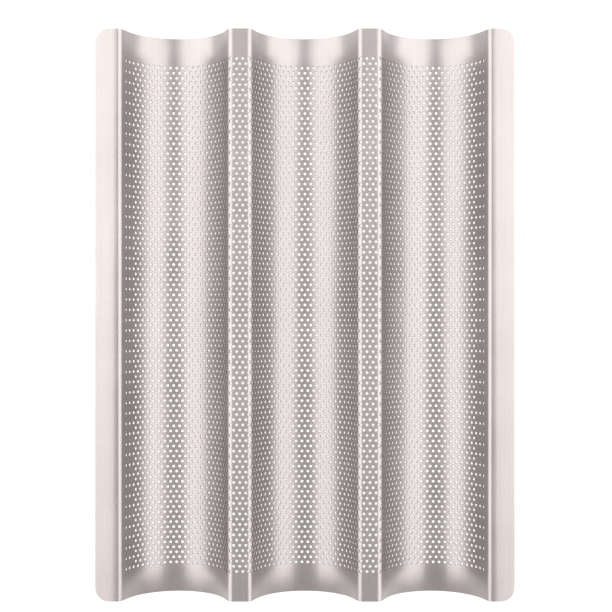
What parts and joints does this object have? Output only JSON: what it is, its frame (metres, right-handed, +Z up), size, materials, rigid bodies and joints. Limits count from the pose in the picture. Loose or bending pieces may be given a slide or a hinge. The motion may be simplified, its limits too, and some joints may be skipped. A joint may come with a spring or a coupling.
{
  "type": "baguette tray",
  "caption": "Perforated, coated sheet-metal tray with open-ended half-round troughs side by side, flat ridges between them and a flange along each side.",
  "frame": {"origin": "centre of the bounding box in plan, on the surface the tray stands on", "axes": "+Y along the troughs, +X across them to the right, +Z up out of the troughs"},
  "size_m": [0.2794, 0.381, 0.03],
  "materials": {
    "coated_steel": "satin warm-grey non-stick coating on pressed carbon steel"
  },
  "bodies": {
    "root": {"left_flange": "coated_steel", "left_trough": "coated_steel", "left_ridge": "coated_steel", "centre_trough": "coated_steel", "right_ridge": "coated_steel", "right_trough": "coated_steel", "right_flange": "coated_steel"}
  },
  "joints": []
}
